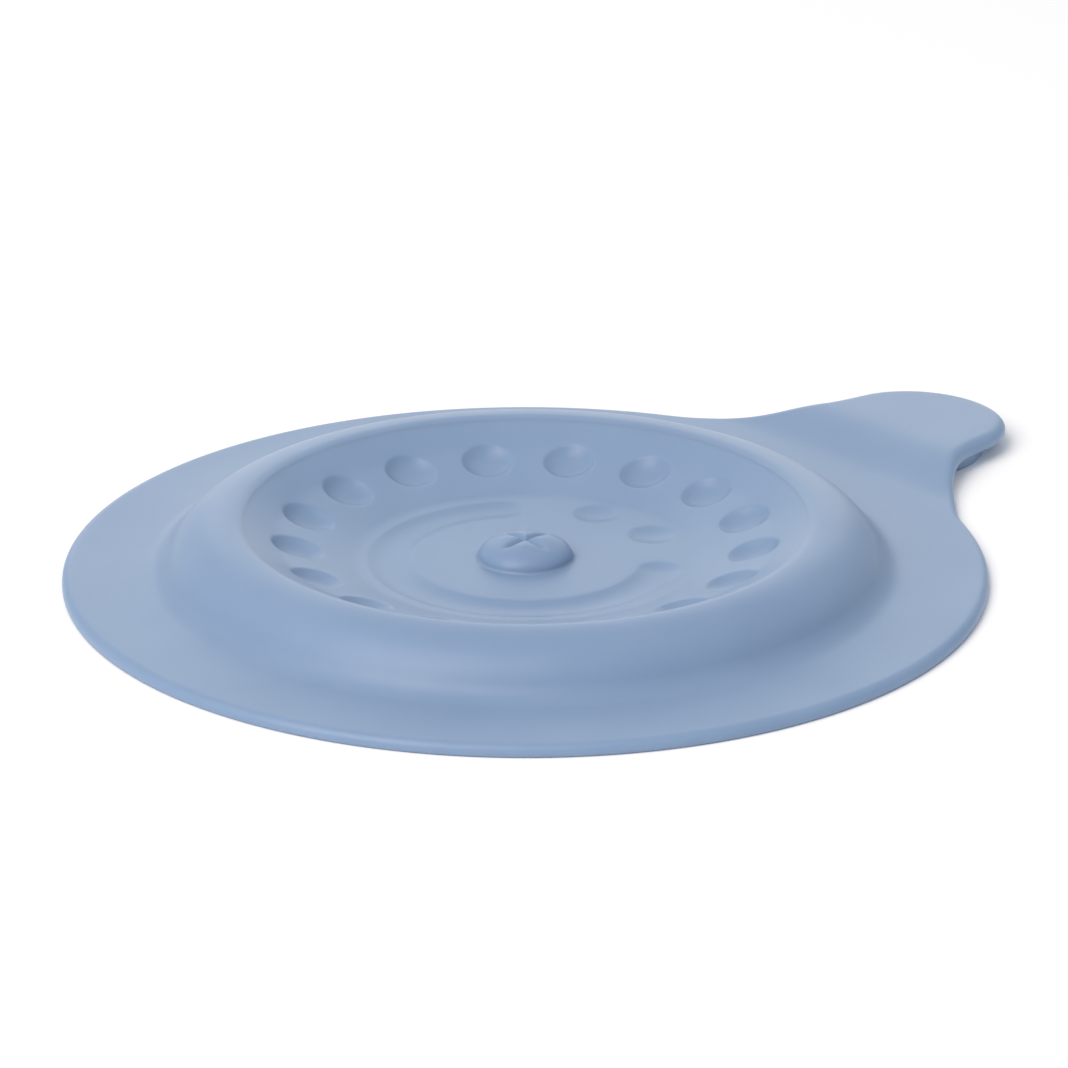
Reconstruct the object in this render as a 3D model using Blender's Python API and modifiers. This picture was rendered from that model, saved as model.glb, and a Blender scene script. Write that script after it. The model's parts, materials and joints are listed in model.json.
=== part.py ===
"""Bathtub drain cover: a one-shot silicone moulding, divided at the zones where it flexes.

A flat round skirt seals against the tub. Inside it stands a hollow raised ring, then a bowl whose
wall carries a ring of dimples, a thin web, and a floor that can be pressed down or pulled up by
the button in its middle. A tab with a round foot under it is lifted to break the seal.
Units are metres, +Z is up, the tab points along +X, and the cover stands on Z = 0.
"""
import math

import bmesh
import bpy
from mathutils import Matrix, Vector

mm = 0.001

# The moulding as a whole
wall_thickness = 2.2 * mm
seam = 0.3 * mm
overrun = 2.0 * mm
merge_distance = 0.001 * mm
turn_steps = 72

# Skirt, the flat rim that seals
skirt_radius = 75.0 * mm
skirt_width = 12.5 * mm
rim_thickness = 2.2 * mm
rim_rounding = 1.0 * mm
groove_width = 1.4 * mm
groove_depth = 0.6 * mm
groove_pitch = 3.2 * mm
groove_inset = 3.4 * mm
groove_inner_land = 0.7 * mm

# Raised ring
crest_height = 10.7 * mm
crest_rounding = 5.0 * mm
crest_lip = 0.9 * mm
flank_radius = 11.4 * mm
foot_fillet = 5.0 * mm

# Bowl: a gently sloping band with the dimples, a steeper wall up to the crest, a thin web and the floor
bowl_wall_run = 20.1 * mm
band_width = 14.6 * mm
band_rise = 4.4 * mm
knee_fillet = 4.5 * mm
floor_height = 3.4 * mm
web_width = 1.4 * mm
web_thickness = 1.0 * mm
dimple_foot_distance = 9.5 * mm
dimple_pitch = 13.9 * mm
dimple_diameter = 8.6 * mm
dimple_depth = 1.1 * mm
dimple_turn = math.radians(-6.7)

# Track in the floor: a C-shaped channel and two dots on one circle
track_inset = 3.9 * mm
channel_width = 6.9 * mm
channel_depth = 1.2 * mm
channel_end_spacing = 13.7 * mm
dot_diameter = 7.8 * mm
dot_depth = 1.1 * mm
dot_spacing = 12.5 * mm

# Button, a low mushroom with crossed grooves
button_radius = 7.7 * mm
button_height = 3.5 * mm
button_waist_height = 0.9 * mm
button_undercut = 0.8 * mm
button_core_radius = 4.5 * mm
button_groove_radius = 1.5 * mm
button_groove_depth = 0.9 * mm

# Pull tab
tab_length = 31.0 * mm
tab_tip_radius = 15.2 * mm
tab_root_arc_radius = 36.5 * mm
tab_thickness = 2.8 * mm
tab_ramp_length = 8.0 * mm
tab_clearance_height = 1.5 * mm
tab_tip_droop = 0.4 * mm
hinge_gap = 1.6 * mm

# Foot under the tab
foot_radius = 14.4 * mm
foot_nose_inset = 5.2 * mm
foot_start_gap = 3.6 * mm
foot_rounding = 0.3 * mm

# Places along the tab
tab_reach = skirt_radius + tab_length
hinge_reach = skirt_radius + hinge_gap
ramp_end = hinge_reach + tab_ramp_length

# Silicone, seen as a satin powder blue
silicone_colour = (0.305, 0.418, 0.597, 1.0)
silicone_roughness = 0.5
silicone_metallic = 0.0


def clear_scene():
    """Start from an empty scene."""
    for thing in list(bpy.data.objects):
        bpy.data.objects.remove(thing, do_unlink=True)


def new_collection(name):
    """A collection linked to the scene."""
    collection = bpy.data.collections.new(name)
    bpy.context.scene.collection.children.link(collection)
    return collection


def silicone(name):
    """A satin silicone for one sub-part."""
    material = bpy.data.materials.new(name + "_silicone")
    material.use_nodes = True
    shader = material.node_tree.nodes["Principled BSDF"]
    shader.inputs["Base Color"].default_value = silicone_colour
    shader.inputs["Roughness"].default_value = silicone_roughness
    shader.inputs["Metallic"].default_value = silicone_metallic
    return material


def add_object(name, mesh, collection, parent, origin=(0, 0, 0)):
    """An object whose origin is moved to a point, with its shape left in place."""
    mesh.transform(Matrix.Translation(-Vector(origin)))
    thing = bpy.data.objects.new(name, mesh)
    thing.location = origin
    thing.parent = parent
    collection.objects.link(thing)
    return thing


def finish_part(thing, material):
    """Give a sub-part its material."""
    thing.data.materials.append(material)


def finish_cutter(thing):
    """Hide a cutter from renders."""
    thing.hide_render = True
    thing.display_type = "WIRE"


def mesh_from(build):
    """Close a bmesh into a mesh."""
    mesh = bpy.data.meshes.new("shape")
    build.to_mesh(mesh)
    build.free()
    return mesh


def add_cut(thing, cutter, name):
    """Cut one object with another."""
    cut = thing.modifiers.new(name, "BOOLEAN")
    cut.operation = "DIFFERENCE"
    cut.solver = "EXACT"
    cut.object = cutter


def shade_round(thing, angle=math.radians(35.0)):
    """Shade round faces smooth and keep real edges sharp."""
    thing.data.shade_smooth()
    thing.data.set_sharp_from_angle(angle=angle)


def arc(centre, radius, start, end, steps):
    """Points of an arc, both ends included."""
    points = []
    for step in range(steps + 1):
        angle = start + (end - start) * step / steps
        points.append((centre[0] + radius * math.cos(angle), centre[1] + radius * math.sin(angle)))
    return points


def turned_mesh(profile, closed=True):
    """A mesh of edges in the XZ plane, ready for a Screw modifier."""
    build = bmesh.new()
    rim = [build.verts.new((radius, 0, height)) for radius, height in profile]
    for first, second in zip(rim, rim[1:]):
        build.edges.new((first, second))
    if closed:
        build.edges.new((rim[-1], rim[0]))
    return mesh_from(build)


def turn(thing, steps=turn_steps):
    """Turn a profile round the cover's axis."""
    screw = thing.modifiers.new("turned", "SCREW")
    screw.axis = "Z"
    screw.steps = steps
    screw.render_steps = steps
    screw.use_merge_vertices = True
    screw.merge_threshold = merge_distance
    screw.use_smooth_shade = True


def slab_mesh(outline, thickness, rounding, rounding_steps):
    """A flat outline raised to a thickness, with its upper and lower edges rounded."""
    build = bmesh.new()
    face = build.faces.new([build.verts.new((x, y, 0)) for x, y in outline])
    raised = bmesh.ops.extrude_face_region(build, geom=[face])
    top = [item for item in raised["geom"] if isinstance(item, bmesh.types.BMVert)]
    bmesh.ops.translate(build, verts=top, vec=(0, 0, thickness))
    bmesh.ops.recalc_face_normals(build, faces=build.faces)
    level = [edge for edge in build.edges if abs(edge.verts[0].co.z - edge.verts[1].co.z) < merge_distance]
    bmesh.ops.bevel(build, geom=level, offset=rounding, offset_type="OFFSET", segments=rounding_steps,
                    profile=0.5, affect="EDGES", clamp_overlap=True, material=-1)
    return build


def ring_shape():
    """The ring's outer flank: its centre's height, its steepest slope, its foot and its crest."""
    centre_height = crest_height - flank_radius
    rise = rim_thickness + foot_fillet - centre_height
    run = math.sqrt((flank_radius + foot_fillet) ** 2 - rise ** 2)
    foot = skirt_radius - skirt_width
    return centre_height, math.atan2(run, rise), foot, foot - run


flank_centre_height, flank_steepest, ring_outer_radius, crest_radius = ring_shape()
bowl_foot_radius = crest_radius - bowl_wall_run
floor_outer_radius = bowl_foot_radius - 2 * seam - web_width
track_radius = floor_outer_radius - track_inset
dot_angle = math.asin(dot_spacing / (2 * track_radius))
channel_end_angle = dot_angle + 2 * math.asin(channel_end_spacing / (2 * track_radius))
dimple_circle_radius = bowl_foot_radius + dimple_foot_distance
dimple_count = round(2 * math.pi * dimple_circle_radius / dimple_pitch)


def wall_shape():
    """The slopes of the band and of the wall above it, and where the wall leaves the rounded crest."""
    centre = (crest_radius, crest_height - crest_rounding)
    run = bowl_wall_run - band_width
    rise = centre[1] - floor_height - band_rise
    slope = math.atan2(rise, run) + math.asin(crest_rounding / math.hypot(run, rise))
    leave = (centre[0] - crest_rounding * math.sin(slope), centre[1] + crest_rounding * math.cos(slope))
    return math.atan2(band_rise, band_width), slope, leave


band_slope, wall_slope, crest_leave = wall_shape()


def on_slope(start, slope, distance, depth):
    """A point at a distance up a slope from its start, and at a depth under its face."""
    return (
        start[0] + distance * math.cos(slope) + depth * math.sin(slope),
        start[1] + distance * math.sin(slope) - depth * math.cos(slope),
    )


def on_wall(distance, depth=0.0):
    """A point of the steeper wall, at a distance down it from the crest."""
    return on_slope(crest_leave, wall_slope, -distance, depth)


def on_band(distance, depth=0.0):
    """A point of the dimpled band, at a distance up it from its foot."""
    return on_slope((bowl_foot_radius, floor_height), band_slope, distance, depth)


def knee_arc(depth=0.0):
    """The hollow fillet between the band and the wall, at a depth under its face, from the wall down."""
    setback = knee_fillet * math.tan((wall_slope - band_slope) / 2)
    centre = on_band(math.hypot(band_width, band_rise) - setback, -knee_fillet)
    quarter = math.pi / 2
    return arc(centre, knee_fillet + depth, wall_slope - quarter, band_slope - quarter, 2)


def tab_arcs():
    """The centre of the arc at the tab's root, and where it touches the skirt and the tip."""
    tip_centre = tab_reach - tab_tip_radius
    to_axis = skirt_radius + tab_root_arc_radius
    to_tip = tab_tip_radius + tab_root_arc_radius
    x = (to_axis ** 2 - to_tip ** 2 + tip_centre ** 2) / (2 * tip_centre)
    y = math.sqrt(to_axis ** 2 - x ** 2)
    return tip_centre, (x, y), math.atan2(y, x), math.atan2(y, x - tip_centre)


tab_tip_centre, root_arc_centre, skirt_touch_angle, tip_touch_angle = tab_arcs()


def root_arc_angle_at(reach):
    """The angle, on the arc at the tab's root, of the point at a distance along the tab."""
    return 2 * math.pi - math.acos((reach - root_arc_centre[0]) / tab_root_arc_radius)


def mirrored(points):
    """The same points on the other side of the tab, in the opposite order."""
    return [(x, -y) for x, y in reversed(points)]


def skirt_outline():
    """The skirt's circle with the flare that runs out into the tab."""
    touch = skirt_touch_angle
    circle = arc((0, 0), skirt_radius, touch, 2 * math.pi - touch, turn_steps)
    flare = arc(root_arc_centre, tab_root_arc_radius, math.pi + touch, root_arc_angle_at(hinge_reach), 6)
    return circle + [(x, -y) for x, y in flare[1:]] + flare[:0:-1]


def tab_outline():
    """The tab from its hinge to its round tip."""
    start = root_arc_angle_at(hinge_reach - rim_thickness / 2)
    root = arc(root_arc_centre, tab_root_arc_radius, start, math.pi + tip_touch_angle, 8)
    tip = arc((tab_tip_centre, 0), tab_tip_radius, tip_touch_angle, -tip_touch_angle, 20)
    return (root + tip[1:-1] + mirrored(root))[::-1]


def smooth_step(share):
    """An even rise from 0 to 1 that starts and ends level."""
    share = min(max(share, 0.0), 1.0)
    return share * share * (3 - 2 * share)


def tab_middle(x):
    """The height of the tab's middle surface and its thickness, at a distance from the axis."""
    rise = smooth_step((x - hinge_reach) / tab_ramp_length)
    droop = tab_tip_droop * (max(x - ramp_end, 0) / (tab_reach - ramp_end)) ** 2
    thickness = rim_thickness + rise * (tab_thickness - rim_thickness)
    raised = tab_clearance_height + tab_thickness / 2
    return rim_thickness / 2 + rise * (raised - rim_thickness / 2) - droop, thickness


def tab_mesh(extra=0.0):
    """The tab's slab, bent up from the skirt; extra is added over and under it."""
    build = slab_mesh(tab_outline(), rim_thickness, rim_rounding, 3)
    ramp_cuts = 6
    tip_cuts = 3
    stations = [hinge_reach + tab_ramp_length * index / ramp_cuts for index in range(1, ramp_cuts + 1)]
    stations += [ramp_end + (tab_reach - ramp_end) * index / (tip_cuts + 1)
                 for index in range(1, tip_cuts + 1)]
    for station in stations:
        geometry = build.verts[:] + build.edges[:] + build.faces[:]
        bmesh.ops.bisect_plane(build, geom=geometry, dist=merge_distance,
                               plane_co=(station, 0, 0), plane_no=(1, 0, 0))
    for vert in build.verts:
        middle, thickness = tab_middle(vert.co.x)
        share = (vert.co.z - rim_thickness / 2) / rim_thickness
        vert.co.z = middle + share * (thickness + 2 * extra)
    bmesh.ops.triangulate(build, faces=build.faces)
    return mesh_from(build)


def make_skirt(parts, cutters, axis):
    """The flat skirt, with sealing grooves under it and a hollow end for the tab's hinge."""
    slab = slab_mesh(skirt_outline(), rim_thickness, rim_rounding, 3)
    skirt = add_object("sealing_skirt", mesh_from(slab), parts, axis)
    low = -overrun
    high = rim_thickness + overrun
    bore = [(0, high), (ring_outer_radius + seam, high), (ring_outer_radius + seam, low), (0, low)]
    bore_cutter = add_object("ring_bore_cutter", turned_mesh(bore, closed=False), cutters, axis)
    turn(bore_cutter)
    finish_cutter(bore_cutter)
    add_cut(skirt, bore_cutter, "ring bore")
    land_to_land = skirt_width - groove_inset - groove_width - groove_inner_land
    for index in range(int(land_to_land / groove_pitch) + 1):
        outer = skirt_radius - groove_inset - index * groove_pitch
        inner = outer - groove_width
        ring = [(inner, groove_depth), (outer, groove_depth), (outer, low), (inner, low)]
        groove = add_object("sealing_groove_cutter_%d" % (index + 1), turned_mesh(ring), cutters, axis)
        turn(groove)
        finish_cutter(groove)
        add_cut(skirt, groove, "sealing groove %d" % (index + 1))
    add_cut(skirt, make_hinge_cutter(cutters, axis), "hinge hollow")
    return skirt


def make_hinge_cutter(cutters, axis):
    """A bar along the hinge line, a seam wider than the tab's rounded end."""
    half_width = root_arc_centre[1]
    build = bmesh.new()
    radius = rim_thickness / 2 + seam
    bmesh.ops.create_cone(build, cap_ends=True, segments=24, radius1=radius, radius2=radius,
                          depth=2 * half_width)
    bmesh.ops.rotate(build, verts=build.verts, cent=(0, 0, 0), matrix=Matrix.Rotation(math.pi / 2, 3, "X"))
    bmesh.ops.translate(build, verts=build.verts, vec=(hinge_reach, 0, rim_thickness / 2))
    cutter = add_object("hinge_cutter", mesh_from(build), cutters, axis)
    finish_cutter(cutter)
    return cutter


def make_raised_ring(parts, axis):
    """The hollow ring: rounded crest, full outer flank and a fillet into the skirt."""
    crest_centre = (crest_radius, crest_height - crest_rounding)
    flank_centre = (crest_radius, flank_centre_height)
    fillet_centre = (ring_outer_radius, rim_thickness + foot_fillet)
    quarter = math.pi / 2
    inner_radius = flank_radius - wall_thickness
    inner_start = math.asin(-flank_centre_height / inner_radius)
    profile = [on_wall(crest_lip)]
    profile += arc(crest_centre, crest_rounding, quarter + wall_slope, quarter, 4)
    profile += arc(flank_centre, flank_radius, quarter, quarter - flank_steepest, 7)[1:]
    profile += arc(fillet_centre, foot_fillet, -quarter - flank_steepest, -quarter, 4)[1:]
    profile += [(ring_outer_radius, 0)]
    profile += arc(flank_centre, inner_radius, inner_start, quarter, 4)
    profile += arc(crest_centre, crest_rounding - wall_thickness, quarter, quarter + wall_slope, 2)[1:]
    profile += [on_wall(crest_lip, wall_thickness)]
    ring = add_object("raised_ring", turned_mesh(profile), parts, axis)
    turn(ring)
    return ring


def make_bowl_wall(parts, cutters, axis):
    """The bowl's wall and the band under it, with a ring of shallow round dimples pressed into the band."""
    start = crest_lip + seam
    floor_under = floor_height - wall_thickness
    under_start = (floor_under - on_band(0, wall_thickness)[1]) / math.sin(band_slope)
    profile = [on_wall(start, wall_thickness)] + knee_arc(wall_thickness)
    profile += [on_band(under_start, wall_thickness), (bowl_foot_radius, floor_under)]
    profile += [on_band(0)] + knee_arc()[::-1] + [on_wall(start)]
    wall = add_object("bowl_wall", turned_mesh(profile), parts, axis)
    turn(wall, dimple_count * 4)
    add_cut(wall, make_dimple_cutter(cutters, axis), "dimples")
    return wall


def ball_radius(diameter, depth):
    """The radius of the ball that leaves a dimple of this width and depth."""
    return ((diameter / 2) ** 2 + depth ** 2) / (2 * depth)


def add_ball(build, radius, place):
    """A ball in a cutter, moved and turned by a matrix."""
    bmesh.ops.create_uvsphere(build, u_segments=18, v_segments=14, radius=radius, matrix=place)


def make_dimple_cutter(cutters, axis):
    """A ring of balls, each standing over the dimpled band along its normal."""
    radius = ball_radius(dimple_diameter, dimple_depth)
    distance = dimple_foot_distance / math.cos(band_slope)
    centre = on_band(distance, dimple_depth - radius)
    build = bmesh.new()
    for index in range(dimple_count):
        round_axis = Matrix.Rotation(dimple_turn + 2 * math.pi * index / dimple_count, 4, "Z")
        lean = Matrix.Rotation(-band_slope, 4, "Y")
        place = round_axis @ Matrix.Translation((centre[0], 0, centre[1])) @ lean
        add_ball(build, radius, place)
    cutter = add_object("dimple_cutter", mesh_from(build), cutters, axis)
    finish_cutter(cutter)
    return cutter


def make_web(parts, axis):
    """The thin web that lets the floor move up and down."""
    outer = bowl_foot_radius - seam
    inner = outer - web_width
    low = floor_height - web_thickness
    profile = [(inner, floor_height), (outer, floor_height), (outer, low), (inner, low)]
    web = add_object("flex_web", turned_mesh(profile), parts, axis)
    turn(web)
    return web


def make_floor(parts, cutters, axis):
    """The floor disc, with the C-shaped channel and the two dots on one circle."""
    inner = button_core_radius + seam
    low = floor_height - wall_thickness
    profile = [(inner, floor_height), (floor_outer_radius, floor_height)]
    profile += [(floor_outer_radius, low), (inner, low)]
    floor = add_object("centre_floor", turned_mesh(profile), parts, axis)
    turn(floor)
    add_cut(floor, make_channel_cutter(cutters, axis), "channel")
    add_cut(floor, make_dot_cutter(cutters, axis), "dots")
    return floor


def make_channel_cutter(cutters, axis):
    """A bent round bar with ball ends, sunk into the floor by the channel's depth."""
    radius = ball_radius(channel_width, channel_depth)
    height = floor_height + radius - channel_depth
    build = bmesh.new()
    section = bmesh.ops.create_circle(build, cap_ends=False, segments=24, radius=radius)["verts"]
    upright = Matrix.Rotation(math.pi / 2, 3, "X")
    bmesh.ops.rotate(build, verts=section, cent=(0, 0, 0), matrix=upright)
    bmesh.ops.translate(build, verts=section, vec=(track_radius, 0, height))
    start = Matrix.Rotation(channel_end_angle, 3, "Z")
    bmesh.ops.rotate(build, verts=section, cent=(0, 0, 0), matrix=start)
    sweep = 2 * (math.pi - channel_end_angle)
    edges = [edge for edge in build.edges]
    spun = bmesh.ops.spin(build, geom=section + edges, cent=(0, 0, 0), axis=(0, 0, 1), dvec=(0, 0, 0),
                          angle=sweep, steps=44, use_merge=False)
    last = [item for item in spun["geom_last"] if isinstance(item, bmesh.types.BMVert)]
    for ring, angle, side in ((section, channel_end_angle, -1), (last, channel_end_angle + sweep, 1)):
        round_end(build, ring, angle, side, height)
    bmesh.ops.recalc_face_normals(build, faces=build.faces)
    cutter = add_object("channel_cutter", mesh_from(build), cutters, axis)
    finish_cutter(cutter)
    return cutter


def round_end(build, ring, angle, side, height):
    """Close one end of the bent bar with half a ball: the end ring's outer half, turned upright."""
    centre = Vector((track_radius * math.cos(angle), track_radius * math.sin(angle), height))
    half = [vert for vert in ring if vert.co.xy.length > track_radius - merge_distance]
    edges = [edge for edge in build.edges if edge.verts[0] in half and edge.verts[1] in half]
    bmesh.ops.spin(build, geom=half + edges, cent=centre, axis=(0, 0, 1), dvec=(0, 0, 0),
                   angle=side * math.pi, steps=10, use_merge=False)
    bmesh.ops.remove_doubles(build, verts=build.verts, dist=merge_distance)


def make_dot_cutter(cutters, axis):
    """Two balls over the floor, one each side of the tab's line."""
    radius = ball_radius(dot_diameter, dot_depth)
    height = floor_height + radius - dot_depth
    build = bmesh.new()
    for angle in (dot_angle, -dot_angle):
        place = Matrix.Translation((track_radius * math.cos(angle), track_radius * math.sin(angle), height))
        add_ball(build, radius, place)
    cutter = add_object("dot_cutter", mesh_from(build), cutters, axis)
    finish_cutter(cutter)
    return cutter


def make_button(parts, cutters, axis):
    """The mushroom button; its core fills the middle of the floor."""
    top = floor_height + button_height
    widest = floor_height + button_waist_height
    quarter = math.pi / 2
    dome = []
    for step in range(9):
        angle = quarter - quarter * step / 8
        dome.append((button_radius * math.cos(angle), widest + (top - widest) * math.sin(angle)))
    dome[0] = (0, top)
    under = []
    neck = button_radius - button_undercut
    for step in range(1, 4):
        angle = quarter * step / 3
        under.append((neck + button_undercut * math.cos(angle),
                      widest - (button_waist_height - seam) * math.sin(angle)))
    core_bottom = floor_height - wall_thickness
    core = [(button_core_radius, floor_height + seam), (button_core_radius, core_bottom), (0, core_bottom)]
    button = add_object("grip_button", turned_mesh(dome + under + core, closed=False), parts, axis)
    turn(button, 40)
    add_cut(button, make_button_groove_cutter(cutters, axis, 0), "groove along the tab")
    add_cut(button, make_button_groove_cutter(cutters, axis, quarter), "groove across the tab")
    return button


def make_button_groove_cutter(cutters, axis, heading):
    """A level bar that sinks into the top of the button."""
    build = bmesh.new()
    bmesh.ops.create_cone(build, cap_ends=True, segments=20, radius1=button_groove_radius,
                          radius2=button_groove_radius, depth=2 * (button_radius + overrun))
    bmesh.ops.rotate(build, verts=build.verts, cent=(0, 0, 0), matrix=Matrix.Rotation(math.pi / 2, 3, "Y"))
    bmesh.ops.rotate(build, verts=build.verts, cent=(0, 0, 0), matrix=Matrix.Rotation(heading, 3, "Z"))
    height = floor_height + button_height + button_groove_radius - button_groove_depth
    bmesh.ops.translate(build, verts=build.verts, vec=(0, 0, height))
    cutter = add_object("button_groove_cutter", mesh_from(build), cutters, axis)
    finish_cutter(cutter)
    return cutter


def make_tab(parts, axis):
    """The pull tab, with its origin on the hinge line."""
    hinge = (hinge_reach, 0, rim_thickness / 2)
    return add_object("pull_tab", tab_mesh(), parts, axis, hinge)


def make_foot(parts, cutters, axis):
    """The round foot that carries the tab's tip, cut to the underside of the tab."""
    hinge = (hinge_reach, 0, rim_thickness / 2)
    centre = tab_reach - foot_nose_inset - foot_radius
    height = tab_clearance_height + tab_thickness / 2
    outline = arc((centre, 0), foot_radius, 0, 2 * math.pi, 48)[:-1]
    build = slab_mesh(outline, height, foot_rounding, 2)
    foot = add_object("tab_foot", mesh_from(build), parts, axis, hinge)
    clearance = add_object("tab_clearance_cutter", tab_mesh(seam), cutters, axis, hinge)
    finish_cutter(clearance)
    add_cut(foot, make_foot_start_cutter(cutters, axis), "foot's straight side")
    add_cut(foot, clearance, "tab underside")
    return foot


def make_foot_start_cutter(cutters, axis):
    """A block that cuts the foot off straight, where the tab's underside comes down to it."""
    end = hinge_reach + foot_start_gap
    length = 2 * foot_radius + overrun
    height = tab_clearance_height + tab_thickness
    build = bmesh.new()
    bmesh.ops.create_cube(build, size=1)
    bmesh.ops.scale(build, verts=build.verts, vec=(length, 2 * (foot_radius + overrun), 2 * height))
    bmesh.ops.translate(build, verts=build.verts, vec=(end - length / 2, 0, 0))
    cutter = add_object("foot_start_cutter", mesh_from(build), cutters, axis)
    finish_cutter(cutter)
    return cutter


def build_cover():
    """Make every sub-part of the drain cover."""
    clear_scene()
    parts = new_collection("bathtub drain cover")
    cutters = new_collection("cutters")
    axis = bpy.data.objects.new("cover_axis", None)
    axis.location = ((skirt_radius - tab_reach) / 2, 0, 0)
    parts.objects.link(axis)
    made = [
        make_skirt(parts, cutters, axis),
        make_raised_ring(parts, axis),
        make_bowl_wall(parts, cutters, axis),
        make_web(parts, axis),
        make_floor(parts, cutters, axis),
        make_button(parts, cutters, axis),
        make_tab(parts, axis),
        make_foot(parts, cutters, axis),
    ]
    for thing in made:
        finish_part(thing, silicone(thing.name))
        shade_round(thing)


build_cover()
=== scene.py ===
# Looks of the bathtub drain cover: one soft silicone moulding, shown as skins without seams
import json
import math

import bmesh
import bpy
from mathutils import Matrix, Vector


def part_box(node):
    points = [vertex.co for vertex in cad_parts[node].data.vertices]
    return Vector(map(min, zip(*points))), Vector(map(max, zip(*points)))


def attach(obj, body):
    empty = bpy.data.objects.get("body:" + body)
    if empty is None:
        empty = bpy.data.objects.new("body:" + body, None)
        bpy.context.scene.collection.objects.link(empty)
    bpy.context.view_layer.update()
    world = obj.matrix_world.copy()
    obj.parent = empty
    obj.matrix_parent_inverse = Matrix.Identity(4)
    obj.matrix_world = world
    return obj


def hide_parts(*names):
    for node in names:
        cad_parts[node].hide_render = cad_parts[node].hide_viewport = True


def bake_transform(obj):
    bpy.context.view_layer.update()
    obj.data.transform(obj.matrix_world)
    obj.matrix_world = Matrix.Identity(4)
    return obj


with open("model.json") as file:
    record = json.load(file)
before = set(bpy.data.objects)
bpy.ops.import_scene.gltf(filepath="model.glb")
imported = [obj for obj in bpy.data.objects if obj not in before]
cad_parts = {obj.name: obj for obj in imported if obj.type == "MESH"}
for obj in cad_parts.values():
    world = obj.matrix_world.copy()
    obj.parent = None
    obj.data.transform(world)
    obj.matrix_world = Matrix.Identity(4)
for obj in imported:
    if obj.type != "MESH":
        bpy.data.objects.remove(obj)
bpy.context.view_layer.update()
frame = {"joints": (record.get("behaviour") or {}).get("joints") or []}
mm = 0.001
weldGap = 0.004 * mm
quarterTurn = math.pi / 2
fullTurn = 2 * math.pi

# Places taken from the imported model; radii are measured from the cover's own axis
skirtLow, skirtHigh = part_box("sealing_skirt")
skirtRadius = skirtHigh.y
axisX = skirtLow.x + skirtRadius
rimThickness = skirtHigh.z
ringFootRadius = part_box("raised_ring")[1].y
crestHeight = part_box("raised_ring")[1].z
floorLow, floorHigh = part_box("centre_floor")
floorHeight = floorHigh.z
floorEdge = floorHigh.y
webLow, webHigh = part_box("flex_web")
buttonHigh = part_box("grip_button")[1]
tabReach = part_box("pull_tab")[1].x - axisX
footLow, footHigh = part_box("tab_foot")
wallThickness = floorHeight - floorLow.z
tabLift = next(joint for joint in frame["joints"] if joint["name"] == "tab_lift")
hingeX = tabLift["pos_m"][0]
hingeReach = hingeX - axisX
print("frame read: skirt radius %.1f mm, tab reach %.1f mm" % (skirtRadius / mm, tabReach / mm))


# Camera, at the photograph's angle
cameraView = {
    "headingDegrees": -43.0,
    "elevationDegrees": 21.655,
    "distance": 1140.9 * mm,
    "lens": 237.2,
    "sensor": 36.0,
    "shiftX": 0.0080,
    "shiftY": 0.0401,
    "clipStart": 0.05,
    "clipEnd": 20.0,
}


def towards(headingDegrees, elevationDegrees):
    # Heading 0 is the part's -Y side, and it grows towards +X
    heading = math.radians(headingDegrees)
    elevation = math.radians(elevationDegrees)
    level = math.cos(elevation)
    return Vector((math.sin(heading) * level, -math.cos(heading) * level, math.sin(elevation)))


def addCamera(view):
    back = towards(view["headingDegrees"], view["elevationDegrees"])
    data = bpy.data.cameras.new("photoCamera")
    data.sensor_width = view["sensor"]
    data.lens = view["lens"]
    data.shift_x = view["shiftX"]
    data.shift_y = view["shiftY"]
    data.clip_start = view["clipStart"]
    data.clip_end = view["clipEnd"]
    camera = bpy.data.objects.new("photoCamera", data)
    camera.location = Vector((axisX, 0, 0)) + back * view["distance"]
    camera.rotation_mode = "QUATERNION"
    camera.rotation_quaternion = (-back).to_track_quat("-Z", "Y")
    bpy.context.scene.collection.objects.link(camera)
    bpy.context.scene.camera = camera


addCamera(cameraView)
print("camera placed")


# Mesh helpers
def arcPoints(centre, radius, start, end, steps):
    points = []
    for step in range(steps + 1):
        angle = start + (end - start) * step / steps
        points.append((centre[0] + radius * math.cos(angle), centre[1] + radius * math.sin(angle)))
    return points


def startLoop(build, places):
    loop = bmesh.ops.create_circle(build, cap_ends=False, segments=len(places), radius=1)["verts"]
    for vert, place in zip(loop, places):
        vert.co = place
    return loop


def growLoop(build, loop, places):
    # One more ring of faces: the loop's edges are extruded, and each new point goes to its place
    edges = [build.edges.get((first, second)) for first, second in zip(loop, loop[1:] + loop[:1])]
    made = bmesh.ops.extrude_edge_only(build, edges=edges)
    fresh = {item for item in made["geom"] if isinstance(item, bmesh.types.BMVert)}
    grown = []
    for vert, place in zip(loop, places):
        across = next(edge.other_vert(vert) for edge in vert.link_edges if edge.other_vert(vert) in fresh)
        across.co = place
        grown.append(across)
    return grown


def everything(build):
    return build.verts[:] + build.edges[:] + build.faces[:]


def openLoop(build, radius, slack=0.1 * mm):
    # The open rim that lies at a radius, in order round the axis
    rim = [vert for vert in build.verts if vert.is_boundary and abs(vert.co.xy.length - radius) < slack]
    return sorted(rim, key=lambda vert: math.atan2(vert.co.y, vert.co.x))


def circlePlaces(angles, radius, height):
    return [Vector((radius * math.cos(angle), radius * math.sin(angle), height)) for angle in angles]


def growCircles(build, loop, angles, profile):
    # One loop round the axis for each radius and height of a profile
    for radius, height in profile:
        loop = growLoop(build, loop, circlePlaces(angles, radius, height))
    return loop


def smoothStep(share):
    share = min(max(share, 0.0), 1.0)
    return share * share * (3 - 2 * share)


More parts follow.
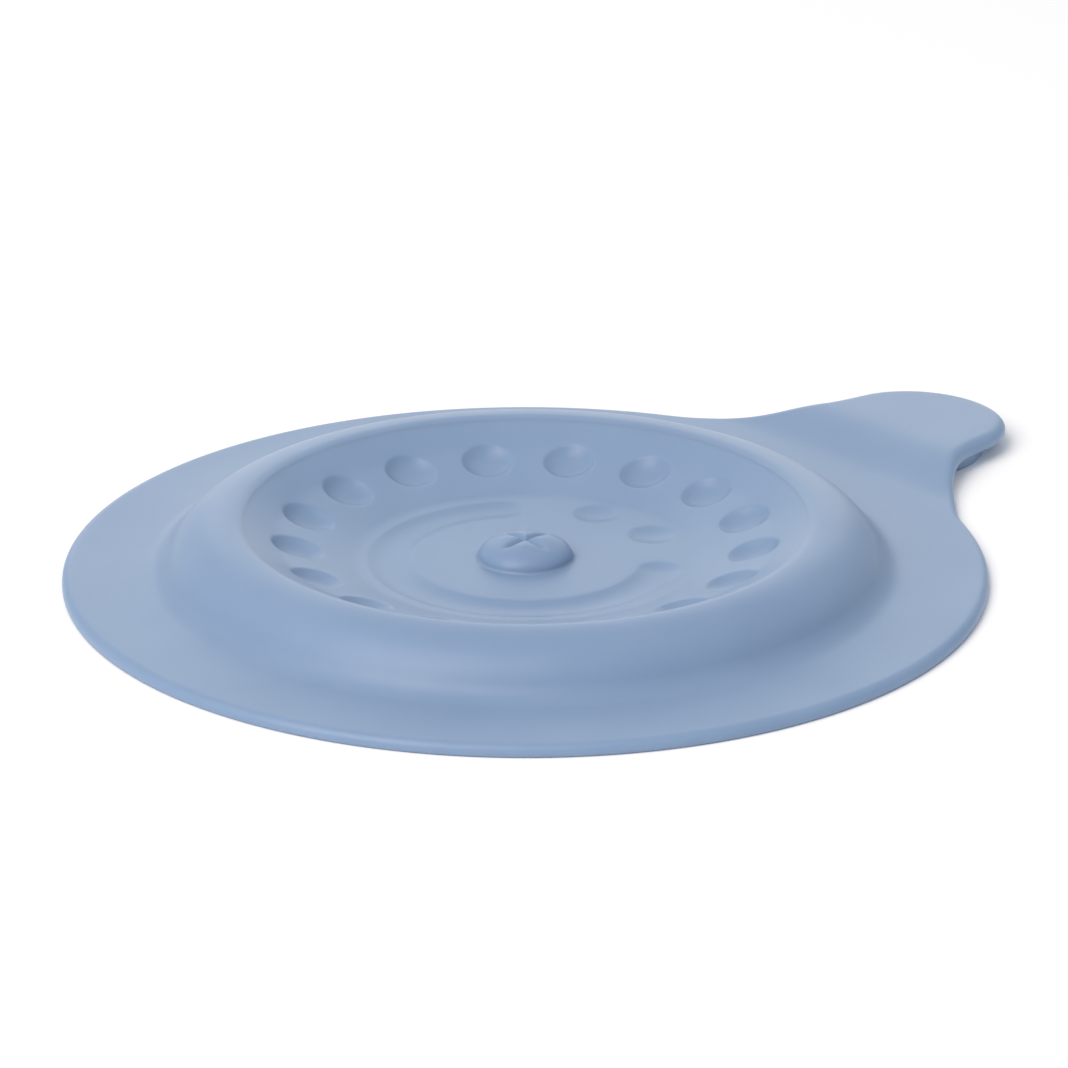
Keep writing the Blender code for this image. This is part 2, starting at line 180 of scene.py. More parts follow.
def finishPiece(build, name, material, sharpDegrees=40.0):
    bmesh.ops.remove_doubles(build, verts=build.verts, dist=weldGap)
    bmesh.ops.recalc_face_normals(build, faces=build.faces)
    bmesh.ops.translate(build, verts=build.verts, vec=(axisX, 0, 0))
    mesh = bpy.data.meshes.new(name)
    build.to_mesh(mesh)
    build.free()
    mesh.shade_smooth()
    mesh.set_sharp_from_angle(angle=math.radians(sharpDegrees))
    mesh.materials.append(material)
    piece = bpy.data.objects.new(name, mesh)
    bpy.context.scene.collection.objects.link(piece)
    print("%s: %d faces" % (name, len(mesh.polygons)))
    return piece


# Material
siliconeLook = {
    "pigmentLight": "#829ab8",
    "pigmentDeep": "#7d95b4",
    "roughness": 0.38,
    "ior": 1.41,
    "subsurface": 0.3,
    "subsurfaceReach": 2.5 * mm,
    "subsurfaceShares": (0.8, 0.9, 1.0),
    "clouds": 22.0 * mm,
    "cloudsDetail": 2.0,
    "deepUpTo": 0.3,
    "lightFrom": 0.7,
    "grain": 0.4 * mm,  # the real grain is nearer 0.05 mm; drawn coarser so that it shows
    "grainDetail": 2.0,
    "grainHeight": 0.005 * mm,
    "ripple": 5.0 * mm,
    "rippleDetail": 1.0,
    "rippleHeight": 0.015 * mm,
}


def linearColour(code):
    # A colour code's sRGB channels as linear light
    channels = [int(code[start:start + 2], 16) / 255 for start in (1, 3, 5)]
    linear = [value / 12.92 if value <= 0.04045 else ((value + 0.055) / 1.055) ** 2.4 for value in channels]
    return (*linear, 1.0)


def addNode(tree, kind, settings, links=()):
    # Settings are the node's properties or its sockets' values; links are pairs of socket and output
    node = tree.nodes.new(kind)
    for key, value in settings.items():
        if key in node.inputs:
            node.inputs[key].default_value = value
        else:
            setattr(node, key, value)
    for socket, output in links:
        tree.links.new(output, node.inputs[socket])
    return node


def mouldedSilicone(look):
    # Liquid silicone rubber from a blasted mould: satin, faintly cloudy, light passes a little way in
    material = bpy.data.materials.new("mouldedSilicone")
    material.use_nodes = True
    tree = material.node_tree
    shader = tree.nodes["Principled BSDF"]
    shader.inputs["Roughness"].default_value = look["roughness"]
    shader.inputs["IOR"].default_value = look["ior"]
    shader.inputs["Subsurface Weight"].default_value = look["subsurface"]
    shader.inputs["Subsurface Radius"].default_value = look["subsurfaceShares"]
    shader.inputs["Subsurface Scale"].default_value = look["subsurfaceReach"]
    place = addNode(tree, "ShaderNodeTexCoord", {}).outputs["Object"]

    def noise(name):
        settings = {"Scale": 1 / look[name], "Detail": look[name + "Detail"]}
        return addNode(tree, "ShaderNodeTexNoise", settings, [("Vector", place)]).outputs["Fac"]

    pigment = addNode(tree, "ShaderNodeValToRGB", {}, [("Fac", noise("clouds"))])
    deep, light = pigment.color_ramp.elements
    deep.position = look["deepUpTo"]
    deep.color = linearColour(look["pigmentDeep"])
    light.position = look["lightFrom"]
    light.color = linearColour(look["pigmentLight"])
    tree.links.new(pigment.outputs["Color"], shader.inputs["Base Color"])
    softBump = addNode(tree, "ShaderNodeBump", {"Distance": look["rippleHeight"]},
                       [("Height", noise("ripple"))])
    fineBump = addNode(tree, "ShaderNodeBump", {"Distance": look["grainHeight"]},
                       [("Height", noise("grain")), ("Normal", softBump.outputs["Normal"])])
    tree.links.new(fineBump.outputs["Normal"], shader.inputs["Normal"])
    return material


silicone = mouldedSilicone(siliconeLook)
print("silicone mixed")


# Cover skin: the skirt, the raised ring and the tab, from the crest out over the rim and back underneath
coverSizes = {
    "crestRounding": 4.0 * mm,
    "flankRadius": 11.4 * mm,
    "footFillet": 5.5 * mm,
    "footInset": 0.3 * mm,
    "wallRun": 20.1 * mm,
    "bandWidth": 12.6 * mm,
    "bandRise": 3.85 * mm,
    "footLift": 0.3 * mm,
    "footSlopeDegrees": 5.0,
    "taperLength": 10.5 * mm,
    "rimDrop": 0.1 * mm,
    "rimRoundWidth": 1.6 * mm,
    "rimRoundHeight": 1.2 * mm,
    "rimUnderRounding": 0.5 * mm,
    "tabUnderRounding": 1.4 * mm,
    "tabRoundGrowth": 0.35,
    "tipRadius": 15.2 * mm,
    "rootArcRadius": 36.5 * mm,
    "tabThickness": 2.6 * mm,
    "tabClearance": 2.25 * mm,
    "neckPlace": 84.5 * mm,
    "neckPull": 0.8 * mm,
    "neckReach": 5.7 * mm,
    "flarePlace": 72.0 * mm,
    "flarePush": 0.9 * mm,
    "flareReach": 3.5 * mm,
    "rampStart": 70.5 * mm,
    "rampLength": 13.5 * mm,
    "tipDroop": 0.6 * mm,
    "droopPower": 1.6,
    "grooveInset": 3.4 * mm,
    "groovePitch": 3.2 * mm,
    "grooveWidth": 1.4 * mm,
    "grooveDepth": 0.6 * mm,
    "grooveEdge": 0.12 * mm,
    "grooveCount": 3,
    "tipSteps": 20,
    "rootSteps": 32,
    "skirtSteps": 150,
    "topSteps": 24,
    "undersideSteps": 12,
    "crestSteps": 12,
    "flankSteps": 18,
    "filletSteps": 12,
    "rimSteps": 8,
    "rimUnderSteps": 6,
    "hollowSteps": 16,
    "hollowCrestSteps": 6,
    "bendBehind": 5.0 * mm,
    "bendAhead": 7.0 * mm,
}


def ringShape(sizes):
    # The crest's radius, the flank's centre height and steepest angle, and the radius at which the
    # foot's fillet is centred, so that flank and fillet touch
    centreHeight = crestHeight - sizes["flankRadius"]
    reach = sizes["flankRadius"] + sizes["footFillet"]
    rise = rimThickness + sizes["footFillet"] - centreHeight
    crest = ringFootRadius - sizes["footInset"] - math.sqrt(reach ** 2 - rise ** 2)
    rise += sizes["footLift"]
    run = math.sqrt(reach ** 2 - rise ** 2)
    return crest, centreHeight, math.atan2(run, rise), crest + run


crestRadius, flankCentreHeight, flankSteepest, filletRadius = ringShape(coverSizes)
crestCentre = (crestRadius, crestHeight - coverSizes["crestRounding"])
flankCentre = (crestRadius, flankCentreHeight)
bowlFootRadius = crestRadius - coverSizes["wallRun"]


def bowlShape(sizes):
    # The slopes of the dimpled band and of the wall above it, and where the wall leaves the rounded crest
    centreHeight = crestHeight - sizes["crestRounding"]
    run = sizes["wallRun"] - sizes["bandWidth"]
    rise = centreHeight - floorHeight - sizes["bandRise"]
    slope = math.atan2(rise, run) + math.asin(sizes["crestRounding"] / math.hypot(run, rise))
    radius = crestRadius - sizes["crestRounding"] * math.sin(slope)
    bandSlope = math.atan2(sizes["bandRise"], sizes["bandWidth"])
    return bandSlope, slope, radius, centreHeight + sizes["crestRounding"] * math.cos(slope)


bandSlope, wallSlope, seamRadius, seamHeight = bowlShape(coverSizes)
seamUnderHeight = seamHeight - wallThickness * math.cos(wallSlope)


def coverOutline(sizes):
    # Points round the rim with their outward directions, from the tab's tip round the skirt and back,
    # and the angle at which each point's column crosses the ring
    tipCentre = tabReach - sizes["tipRadius"]
    toAxis = skirtRadius + sizes["rootArcRadius"]
    toTip = sizes["tipRadius"] + sizes["rootArcRadius"]
    rootX = (toAxis ** 2 - toTip ** 2 + tipCentre ** 2) / (2 * tipCentre)
    rootY = math.sqrt(toAxis ** 2 - rootX ** 2)
    skirtTouch = math.atan2(rootY, rootX)
    tipTouch = math.atan2(rootY, rootX - tipCentre)
    stretches = [
        ((tipCentre, 0), sizes["tipRadius"], 0, tipTouch, sizes["tipSteps"], 1),
        ((rootX, rootY), sizes["rootArcRadius"], math.pi + tipTouch, math.pi + skirtTouch,
         sizes["rootSteps"], -1),
        ((0, 0), skirtRadius, skirtTouch, math.pi, sizes["skirtSteps"], 1),
    ]
    half = []
    for centre, radius, start, end, steps, side in stretches:
        for step in range(0 if not half else 1, steps + 1):
            angle = start + (end - start) * step / steps
            out = Vector((math.cos(angle), math.sin(angle), 0))
            half.append((Vector((*centre, 0)) + out * radius, out * side))
    tabColumns = sizes["tipSteps"] + sizes["rootSteps"]
    columns = []
    for index, (point, out) in enumerate(half):
        angle = skirtTouch * index / tabColumns if index < tabColumns else math.atan2(point.y, point.x)
        columns.append((point, out, angle))
    # The neck is pulled in and the flare pushed out a little, from the plain arc that joins tab and skirt
    for point, _, _ in columns[1:-1]:
        pull = sizes["neckPull"] * math.exp(-((point.x - sizes["neckPlace"]) / sizes["neckReach"]) ** 2)
        push = sizes["flarePush"] * math.exp(-((point.x - sizes["flarePlace"]) / sizes["flareReach"]) ** 2)
        point.y += (push - pull) * smoothStep(point.y / sizes["tipRadius"])
    flip = Vector((1, -1, 1))
    return columns + [(point * flip, out * flip, -angle) for point, out, angle in columns[-2:0:-1]]


def tabShare(place, sizes):
    return smoothStep((place.x - sizes["rampStart"]) / sizes["rampLength"])


def bendTab(place, sizes):
    # Lifts a point of the flat slab to where the tab's slab is
    rise = tabShare(place, sizes)
    rampEnd = sizes["rampStart"] + sizes["rampLength"]
    droop = sizes["tipDroop"] * (max(place.x - rampEnd, 0) / (tabReach - rampEnd)) ** sizes["droopPower"]
    thickness = rimThickness + rise * (sizes["tabThickness"] - rimThickness)
    raised = sizes["tabClearance"] + sizes["tabThickness"] / 2
    middle = rimThickness / 2 + rise * (raised - rimThickness / 2) - droop
    return Vector((place.x, place.y, middle + (place.z / rimThickness - 0.5) * thickness))


def ringTop(sizes):
    # Points from the bowl's seam over the crest and down the flank to the skirt
    filletCentre = (filletRadius, rimThickness + sizes["footLift"] + sizes["footFillet"])
    filletEnd = -quarterTurn - math.radians(sizes["footSlopeDegrees"])
    places = arcPoints(crestCentre, sizes["crestRounding"], quarterTurn + wallSlope, quarterTurn,
                       sizes["crestSteps"])
    places += arcPoints(flankCentre, sizes["flankRadius"], quarterTurn, quarterTurn - flankSteepest,
                        sizes["flankSteps"])[1:]
    places += arcPoints(filletCentre, sizes["footFillet"], -quarterTurn - flankSteepest, filletEnd,
                        sizes["filletSteps"])[1:]
    return places


def ringUnderside(sizes):
    # Points in over the sealing grooves and up through the hollow under the ring to the bowl's seam
    lip = sizes["grooveEdge"]
    deep = sizes["grooveDepth"]
    places = []
    for index in range(sizes["grooveCount"]):
        outer = skirtRadius - sizes["grooveInset"] - index * sizes["groovePitch"]
        inner = outer - sizes["grooveWidth"]
        places += [(outer + lip, 0), (outer, lip), (outer, deep - lip), (outer - lip, deep),
                   (inner + lip, deep), (inner, deep - lip), (inner, lip), (inner - lip, 0)]
    hollowRadius = sizes["flankRadius"] - wallThickness
    hollowStart = math.asin(-flankCentreHeight / hollowRadius)
    places += arcPoints(flankCentre, hollowRadius, hollowStart, quarterTurn, sizes["hollowSteps"])
    places += arcPoints(crestCentre, sizes["crestRounding"] - wallThickness, quarterTurn,
                        quarterTurn + wallSlope, sizes["hollowCrestSteps"])[1:]
    return places


def makeCoverSkin(sizes, material):
    columns = coverOutline(sizes)
    angles = [angle for _, _, angle in columns]

    def rimPlaces(inset, height):
        # The top edge's rounding grows wider towards the tab
        growth = sizes["tabRoundGrowth"]
        return [point - out * inset * (1 + growth * tabShare(point, sizes)) + Vector((0, 0, height))
                for point, out, _ in columns]

    def underPlaces(share):
        # The lower edge: a small rounding on the skirt that grows to a full one under the tab
        angle = quarterTurn * share
        places = []
        for point, out, _ in columns:
            reach = sizes["rimUnderRounding"]
            reach += (sizes["tabUnderRounding"] - reach) * tabShare(point, sizes)
            places.append(point - out * reach * (1 - math.cos(angle))
                          + Vector((0, 0, sizes["rimUnderRounding"] * (1 - math.sin(angle)))))
        return places

    def between(first, second, share):
        # A loop between two others, falling fast at the first and levelling out towards the second
        places = []
        for start, end in zip(first, second):
            place = start.lerp(end, share)
            left = max(1 - (place - start).length / sizes["taperLength"], 0)
            place.z = end.z + (start.z - end.z) * left ** 2
            places.append(bendTab(place, sizes))
        return places

    profile = ringTop(sizes)
    build = bmesh.new()
    loop = startLoop(build, circlePlaces(angles, *profile[0]))
    loop = growCircles(build, loop, angles, profile[1:])
    ringFoot = circlePlaces(angles, *profile[-1])
    rimTop = rimPlaces(sizes["rimRoundWidth"], rimThickness - sizes["rimDrop"])
    for step in range(1, sizes["topSteps"] + 1):
        loop = growLoop(build, loop, between(ringFoot, rimTop, step / sizes["topSteps"]))
    for step in range(1, sizes["rimSteps"] + 1):
        angle = quarterTurn * step / sizes["rimSteps"]
        inset = sizes["rimRoundWidth"] * (1 - math.sin(angle))
        height = rimThickness - sizes["rimDrop"] - sizes["rimRoundHeight"] * (1 - math.cos(angle))
        loop = growLoop(build, loop, [bendTab(place, sizes) for place in rimPlaces(inset, height)])
    for step in range(sizes["rimUnderSteps"] + 1):
        places = underPlaces(step / sizes["rimUnderSteps"])
        loop = growLoop(build, loop, [bendTab(place, sizes) for place in places])

    # Underneath: flat land, the sealing grooves, and the hollow under the ring
    rimUnder = underPlaces(1)
    landRadius = skirtRadius - sizes["grooveInset"] + 2 * sizes["grooveEdge"]
    firstLand = circlePlaces(angles, landRadius, 0)
    for step in range(1, sizes["undersideSteps"] + 1):
        loop = growLoop(build, loop, between(rimUnder, firstLand, step / sizes["undersideSteps"]))
    growCircles(build, loop, angles, ringUnderside(sizes) + [profile[0]])
    piece = finishPiece(build, "coverSkin", material)
    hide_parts("sealing_skirt", "raised_ring", "pull_tab")
    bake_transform(piece)


makeCoverSkin(coverSizes, silicone)


# Bowl skin: the dimpled wall, the web and the floor with its channel and dots, and their underside
bowlSizes = {
    "sectors": 17,
    "sectorColumns": 12,
    "wallSideSteps": 12,
    "dimpleRadiusFromFoot": 9.5 * mm,
    "dimpleTurnDegrees": -6.7,
    "dimple": {"radius": 4.3 * mm, "depth": 1.35 * mm, "power": 3.0, "softness": 0.25 * mm},
    "footFillet": 8.0 * mm,
    "kneeFillet": 12.0 * mm,
    "webGap": 0.3 * mm,
    "wallInset": 2.4 * mm,
    "bandOverhang": 2.2 * mm,
    "trackInset": 3.9 * mm,
    "trackInnerBand": 6.5 * mm,
    "bandSideSteps": 12,
    "dotColumns": 20,
    "dotSpacing": 12.5 * mm,
    "dotOutset": 0.9 * mm,
    "channelEndSpacing": 15.3 * mm,
    "dot": {"radius": 3.9 * mm, "depth": 0.75 * mm, "power": 2.3, "softness": 0.2 * mm},
    "channel": {"radius": 3.45 * mm, "depth": 0.7 * mm, "power": 2.4, "softness": 0.25 * mm},
    "rimLevels": (1.25, 1.15, 1.08, 1.03, 1.0, 0.97, 0.93, 0.87, 0.79, 0.68, 0.52, 0.32, 0.0),
    "outerLevels": (0.88, 0.76, 0.64, 0.52, 0.4, 0.27, 0.13),
    "webSteps": 5,
    "middleShares": (0.85, 0.7, 0.55, 0.4, 0.2, 0),
    "underEdge": 0.25 * mm,
    "kneeUnderSteps": 6,
    "wallUnderShares": (0.2, 0.4, 0.6, 0.8, 0.97),
    "floorUnderRings": (20.0 * mm, 10.0 * mm, 0),
}
columnStep = fullTurn / (bowlSizes["sectors"] * bowlSizes["sectorColumns"])
bowlCorners = [  # the band's foot and the knee above it: place, slopes inside and outside it, fillet
    (bowlFootRadius, floorHeight, 0, bandSlope, bowlSizes["footFillet"]),
    (bowlFootRadius + coverSizes["bandWidth"], floorHeight + coverSizes["bandRise"], bandSlope, wallSlope,
     bowlSizes["kneeFillet"]),
]


def filletCentreOf(corner):
    radius, height, below, above, fillet = corner
    setback = fillet * math.tan((above - below) / 2)
    return (radius - setback * math.cos(below) - fillet * math.sin(below),
            height - setback * math.sin(below) + fillet * math.cos(below))


def bowlHeight(radius):
    # The top surface from the floor over the band and the wall to the crest, its hollow corners filleted
    height = floorHeight
    for corner in bowlCorners:
        cornerRadius, cornerHeight, below, above, fillet = corner
        centreRadius, centreHeight = filletCentreOf(corner)
        if radius > centreRadius + fillet * math.sin(above):
            height = cornerHeight + (radius - cornerRadius) * math.tan(above)
        elif radius > centreRadius + fillet * math.sin(below):
            height = centreHeight - math.sqrt(fillet ** 2 - (radius - centreRadius) ** 2)
    return height


def recessHeight(distance, recess):
    side = recess["depth"] * ((distance / recess["radius"]) ** recess["power"] - 1)
    return (side - math.hypot(side, recess["softness"])) / 2


def patchOutline(lowRadius, highRadius, start, end, columns, sideSteps):
    # A four-sided piece of the surface, as radius and angle, in order round it
    corners = [(highRadius, start), (highRadius, end), (lowRadius, end), (lowRadius, start)]
    outline = []
    for side, (first, second) in enumerate(zip(corners, corners[1:] + corners[:1])):
        steps = sideSteps if side % 2 else columns
        outline += [(first[0] + (second[0] - first[0]) * step / steps,
                     first[1] + (second[1] - first[1]) * step / steps) for step in range(steps)]
    return outline


def pressRecess(build, outline, slope, middleRadius, middleStart, middleEnd, recess):
    # Rings from a patch's outline in to the recess's middle line, on the cone laid flat, so that the
    # recess is round
    flatten = math.cos(slope)
    centre = (middleStart + middleEnd) / 2
    rays = []
    for radius, angle in outline:
        nearest = min(max(angle, middleStart), middleEnd)
        spread = (nearest - centre) * flatten
        root = Vector((math.cos(spread), math.sin(spread))) * middleRadius / flatten
        spread = (angle - centre) * flatten
        rays.append((root, Vector((math.cos(spread), math.sin(spread))) * radius / flatten - root))

    def ringPlaces(reach):
        places = []
        for root, ray in rays:
            distance = reach(ray.length)
            flat = root + ray.normalized() * distance
            radius = flat.length * flatten
            angle = math.atan2(flat.y, flat.x) / flatten + centre
            height = recessHeight(distance, recess)
            radiusThere = radius - height * math.sin(slope)
            places.append(Vector((radiusThere * math.cos(angle), radiusThere * math.sin(angle),
                                  bowlHeight(radius) + height * flatten)))
        return places

    rim = bowlSizes["rimLevels"][0] * recess["radius"]
    loop = startLoop(build, ringPlaces(lambda length: length))
    for share in bowlSizes["outerLevels"]:
        loop = growLoop(build, loop, ringPlaces(lambda length: rim + (length - rim) * share))
    for level in bowlSizes["rimLevels"]:
        loop = growLoop(build, loop, ringPlaces(lambda length: level * recess["radius"]))


def bowlUnderside(sizes):
    # Points from the crest's seam down the wall's underside, round the web's groove and in to the axis
    lip = sizes["underEdge"]
    low = floorLow.z
    places = [(seamRadius + wallThickness * math.sin(wallSlope), seamUnderHeight)]
    places += arcPoints(filletCentreOf(bowlCorners[1]), sizes["kneeFillet"] + wallThickness,
                        wallSlope - quarterTurn, bandSlope - quarterTurn, sizes["kneeUnderSteps"])
    kneeRadius, kneeHeight = places[-1]
    foot = kneeRadius - (kneeHeight - low) / math.tan(bandSlope)
    for share in sizes["wallUnderShares"]:
        places.append((kneeRadius + (foot - kneeRadius) * share, kneeHeight + (low - kneeHeight) * share))
    webOuter = webHigh.y
    webInner = floorEdge + sizes["webGap"]
    places += [(foot - lip, low), (webOuter + lip, low), (webOuter, low + lip), (webOuter, webLow.z - lip),
               (webOuter - lip, webLow.z), (webInner + lip, webLow.z), (webInner, webLow.z - lip),
               (webInner, low + lip), (webInner - lip, low)]
    return places + [(radius, low) for radius in sizes["floorUnderRings"]]


def makeBowlSkin(sizes, material):
    build = bmesh.new()
    sectors = sizes["sectors"]
    half = math.pi / sectors
    turn = math.radians(sizes["dimpleTurnDegrees"])
    wallInner = bowlFootRadius + sizes["wallInset"]
    outline = patchOutline(wallInner, seamRadius, -half, half, sizes["sectorColumns"],
                           sizes["wallSideSteps"])
    dimpleRadius = bowlFootRadius + sizes["dimpleRadiusFromFoot"]
    pressRecess(build, outline, bandSlope, dimpleRadius, 0, 0, sizes["dimple"])
    bmesh.ops.spin(build, geom=everything(build), cent=(0, 0, 0), axis=(0, 0, 1), dvec=(0, 0, 0),
                   angle=fullTurn * (sectors - 1) / sectors, steps=sectors - 1, use_duplicate=True)
    bmesh.ops.rotate(build, verts=build.verts, cent=(0, 0, 0), matrix=Matrix.Rotation(turn, 3, "Z"))
    bmesh.ops.remove_doubles(build, verts=build.verts, dist=weldGap)

    # From the wall's foot over the web to the floor's edge, turning to the floor's own columns
    loop = openLoop(build, wallInner)
    wallAngles = [math.atan2(vert.co.y, vert.co.x) for vert in loop]
    floorAngles = [round(angle / columnStep) * columnStep for angle in wallAngles]
    bandOuter = floorEdge + sizes["bandOverhang"]
    for step in range(1, sizes["webSteps"] + 1):
        share = step / sizes["webSteps"]
        radius = wallInner + (bandOuter - wallInner) * share
        angles = [start + (end - start) * share for start, end in zip(wallAngles, floorAngles)]
        loop = growLoop(build, loop, circlePlaces(angles, radius, bowlHeight(radius)))

    # The track's band: two dots and the channel between its ends
    trackRadius = floorEdge - sizes["trackInset"]
    bandInner = trackRadius - sizes["trackInnerBand"]
    dotAngle = math.asin(sizes["dotSpacing"] / (2 * trackRadius))
    channelEnd = dotAngle + 2 * math.asin(sizes["channelEndSpacing"] / (2 * trackRadius))
    dotRadius = trackRadius + sizes["dotOutset"]
    dotSpan = sizes["dotColumns"] * columnStep
    allColumns = sectors * sizes["sectorColumns"]
    bands = [
        (0, dotSpan, sizes["dotColumns"], dotAngle, dotAngle, dotRadius, sizes["dot"]),
        (-dotSpan, 0, sizes["dotColumns"], -dotAngle, -dotAngle, dotRadius, sizes["dot"]),
        (dotSpan, fullTurn - dotSpan, allColumns - 2 * sizes["dotColumns"], channelEnd,
         fullTurn - channelEnd, trackRadius, sizes["channel"]),
    ]
    for start, end, columns, middleStart, middleEnd, middleRadius, recess in bands:
        outline = patchOutline(bandInner, bandOuter, start, end, columns, sizes["bandSideSteps"])
        pressRecess(build, outline, 0, middleRadius, middleStart, middleEnd, recess)
    bmesh.ops.remove_doubles(build, verts=build.verts, dist=weldGap)

    # The middle of the floor, under the button
    loop = openLoop(build, bandInner)
    angles = [math.atan2(vert.co.y, vert.co.x) for vert in loop]
    growCircles(build, loop, angles, [(bandInner * share, floorHeight) for share in sizes["middleShares"]])

    loop = openLoop(build, seamRadius)
    angles = [math.atan2(vert.co.y, vert.co.x) for vert in loop]
    growCircles(build, loop, angles, bowlUnderside(sizes))
    piece = finishPiece(build, "bowlSkin", material)
    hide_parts("bowl_wall", "flex_web", "centre_floor")
    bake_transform(piece)


makeBowlSkin(bowlSizes, silicone)


# Button: a low dome with four puffed lobes between crossed grooves, and a soft fillet at its foot
buttonSizes = {
    "squareness": 0.85,  # 1 is half an ellipse, and less is flatter on top and rounder at the side
    "steepestDegrees": 80.0,
    "filletSteps": 10,
    "coreRadius": 4.5 * mm,
    "gap": 0.3 * mm,
    "columns": 144,
    "domeSteps": 60,
    "grooveDepth": 0.7 * mm,
    "grooveHalfWidth": 0.5 * mm,
    "grooveFadeStart": 2.6 * mm,
    "grooveFadeEnd": 5.6 * mm,
    "lobePuff": 0.35 * mm,
}


def makeButton(sizes, material):
    top = buttonHigh.z
    reach = buttonHigh.y
    rise = top - floorHeight
    steepest = math.radians(sizes["steepestDegrees"])
    angles = [fullTurn * index / sizes["columns"] for index in range(sizes["columns"])]
    profile = [(0, top)]
    for step in range(1, sizes["domeSteps"]):
        angle = quarterTurn * (1 - step / sizes["domeSteps"])
        out = reach * math.cos(angle) ** sizes["squareness"]
        height = floorHeight + rise * math.sin(angle) ** sizes["squareness"]
        slope = math.atan2(profile[-1][1] - height, out - profile[-1][0])
        if slope > steepest:
            break
        profile.append((out, height))
    lastOut, lastHeight = profile[-1]
    fillet = (lastHeight - floorHeight) / (1 - math.cos(steepest))
    foot = lastOut + fillet * math.sin(steepest)
    profile += arcPoints((foot, floorHeight + fillet), fillet, -quarterTurn - steepest, -quarterTurn,
                         sizes["filletSteps"])[1:]
    core = sizes["coreRadius"]
    under = floorHeight - sizes["gap"]
    profile += [(foot, under), (core, under), (core / 2, under), (0, under)]
    build = bmesh.new()
    loop = startLoop(build, circlePlaces(angles, 0, top))
    growCircles(build, loop, angles, profile[1:])
    fadeLength = sizes["grooveFadeEnd"] - sizes["grooveFadeStart"]
    for vert in build.verts:
        if vert.co.z < floorHeight - weldGap:
            continue
        out = vert.co.xy.length
        toGroove = min(abs(vert.co.x), abs(vert.co.y))
        fade = 1 - smoothStep((out - sizes["grooveFadeStart"]) / fadeLength)
        sink = sizes["grooveDepth"] * math.exp(-(toGroove / sizes["grooveHalfWidth"]) ** 2)
        puff = sizes["lobePuff"] * smoothStep(2 * toGroove / reach)
        vert.co.z -= fade * (sink - puff)
    piece = finishPiece(build, "gripButton", material)
    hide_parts("grip_button")
    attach(piece, "centre")


makeButton(buttonSizes, silicone)


# Foot under the tab, set into the tab's underside
footSizes = {
    "rounding": 0.35 * mm,
    "roundingSegments": 4,
    "roundingProfile": 0.5,
    "height": 2.6 * mm,
    "sides": 96,
    "cuts": 6,
    "sharpDegrees": 30.0,
}


def makeTabFoot(sizes, material):
    radius = footHigh.y
    nose = footHigh.x - axisX
    straight = footLow.x - axisX
    centre = nose - radius
    build = bmesh.new()
    bmesh.ops.create_circle(build, cap_ends=True, segments=sizes["sides"], radius=radius)
    bmesh.ops.translate(build, verts=build.verts, vec=(centre, 0, 0))
    bmesh.ops.bisect_plane(build, geom=everything(build), dist=weldGap, plane_co=(straight, 0, 0),
                           plane_no=(-1, 0, 0), clear_outer=True)
    raised = bmesh.ops.extrude_face_region(build, geom=build.faces[:])
    upper = [item for item in raised["geom"] if isinstance(item, bmesh.types.BMVert)]
    bmesh.ops.translate(build, verts=upper, vec=(0, 0, sizes["height"]))
    bmesh.ops.recalc_face_normals(build, faces=build.faces)
    lower = [edge for edge in build.edges if max(vert.co.z for vert in edge.verts) < weldGap]
    bmesh.ops.bevel(build, geom=lower, offset=sizes["rounding"], offset_type="OFFSET",
                    segments=sizes["roundingSegments"], profile=sizes["roundingProfile"], affect="EDGES",
                    clamp_overlap=True, material=-1)
    for cut in range(1, sizes["cuts"] + 1):
        station = straight + (coverSizes["bendAhead"] + hingeReach - straight) * cut / sizes["cuts"]
        bmesh.ops.bisect_plane(build, geom=everything(build), dist=weldGap, plane_co=(station, 0, 0),
                               plane_no=(1, 0, 0))
    piece = finishPiece(build, "tabFoot", material, sizes["sharpDegrees"])
    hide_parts("tab_foot")
    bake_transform(piece)


makeTabFoot(footSizes, silicone)


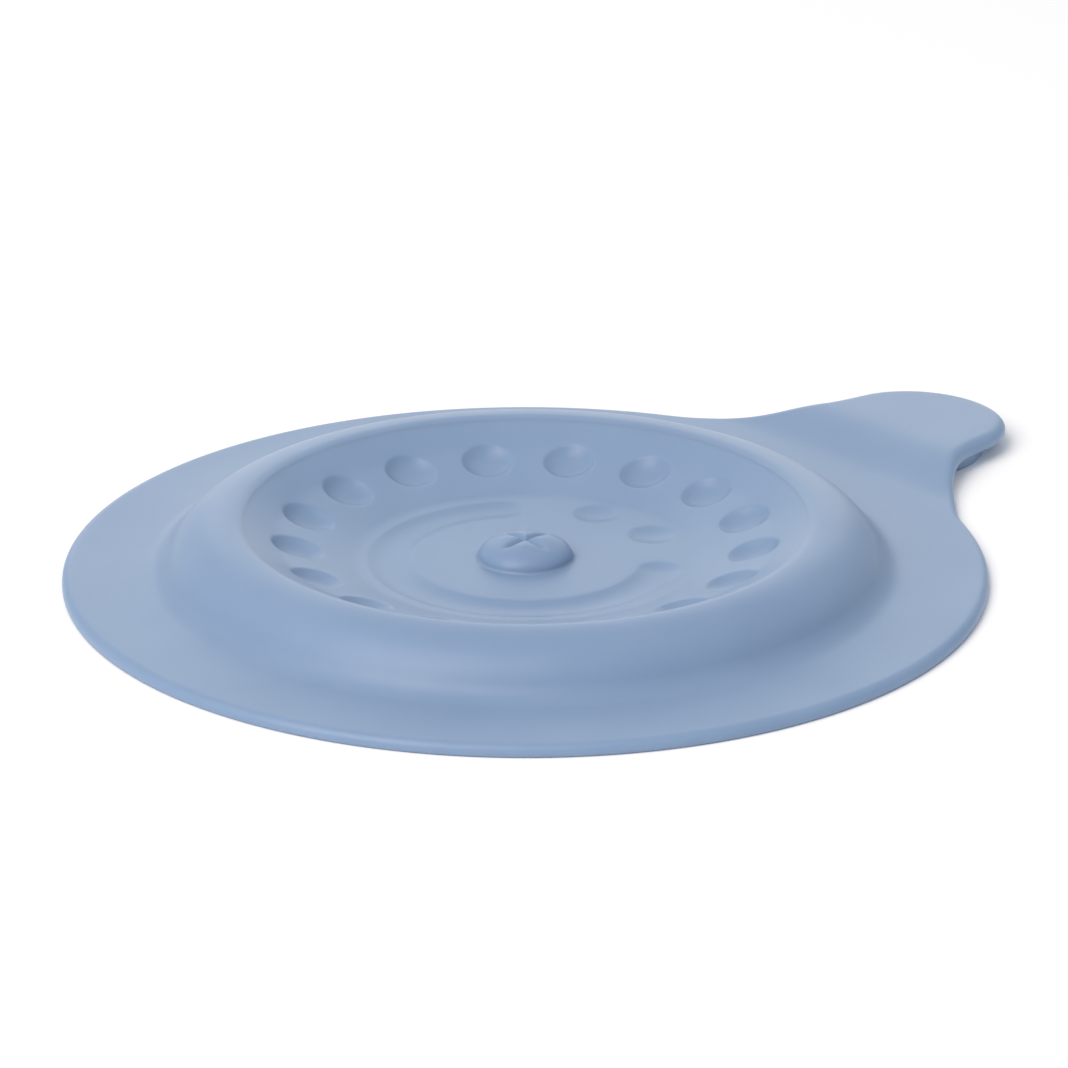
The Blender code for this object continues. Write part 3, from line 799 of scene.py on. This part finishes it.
# Studio: a plain pale floor, an even white surround, a large soft light from the left and a faint one
# from behind
studio = {
    "floorSize": 6.0,
    "floorDrop": 0.02 * mm,
    "floorColour": "#ffffff",
    "floorRoughness": 0.9,
    "surroundColour": "#f1f7ff",
    "surroundStrength": 0.64,
}
studioLights = {
    "softKey": {"heading": -88.0, "elevation": 48.0, "distance": 1.6, "width": 1.1, "height": 1.6,
                "power": 21.4, "colour": "#fff4ea"},
    "backStrip": {"heading": 137.0, "elevation": 17.0, "distance": 1.6, "width": 1.1, "height": 1.0,
                  "power": 3.2, "colour": "#fffcf8"},
}


def addStudio(sizes):
    build = bmesh.new()
    bmesh.ops.create_grid(build, x_segments=2, y_segments=2, size=sizes["floorSize"] / 2)
    bmesh.ops.translate(build, verts=build.verts, vec=(0, 0, -sizes["floorDrop"]))
    mesh = bpy.data.meshes.new("studioFloor")
    build.to_mesh(mesh)
    build.free()
    material = bpy.data.materials.new("mattPaper")
    material.use_nodes = True
    shader = material.node_tree.nodes["Principled BSDF"]
    shader.inputs["Base Color"].default_value = linearColour(sizes["floorColour"])
    shader.inputs["Roughness"].default_value = sizes["floorRoughness"]
    shader.inputs["Specular IOR Level"].default_value = 0.0
    mesh.materials.append(material)
    floor = bpy.data.objects.new("studioFloor", mesh)
    bpy.context.scene.collection.objects.link(floor)
    world = bpy.data.worlds.new("studioSurround")
    world.use_nodes = True
    surround = world.node_tree.nodes["Background"]
    surround.inputs["Color"].default_value = linearColour(sizes["surroundColour"])
    surround.inputs["Strength"].default_value = sizes["surroundStrength"]
    bpy.context.scene.world = world
    bpy.context.scene.view_settings.view_transform = "Standard"


def addLight(name, sizes):
    light = bpy.data.lights.new(name, "AREA")
    light.shape = "RECTANGLE"
    light.size = sizes["width"]
    light.size_y = sizes["height"]
    light.energy = sizes["power"]
    light.color = linearColour(sizes["colour"])[:3]
    lamp = bpy.data.objects.new(name, light)
    out = towards(sizes["heading"], sizes["elevation"])
    lamp.location = Vector((axisX, 0, 0)) + out * sizes["distance"]
    lamp.rotation_mode = "QUATERNION"
    lamp.rotation_quaternion = out.to_track_quat("Z", "Y")
    bpy.context.scene.collection.objects.link(lamp)


addStudio(studio)
for name, sizes in studioLights.items():
    addLight(name, sizes)
print("studio lit")
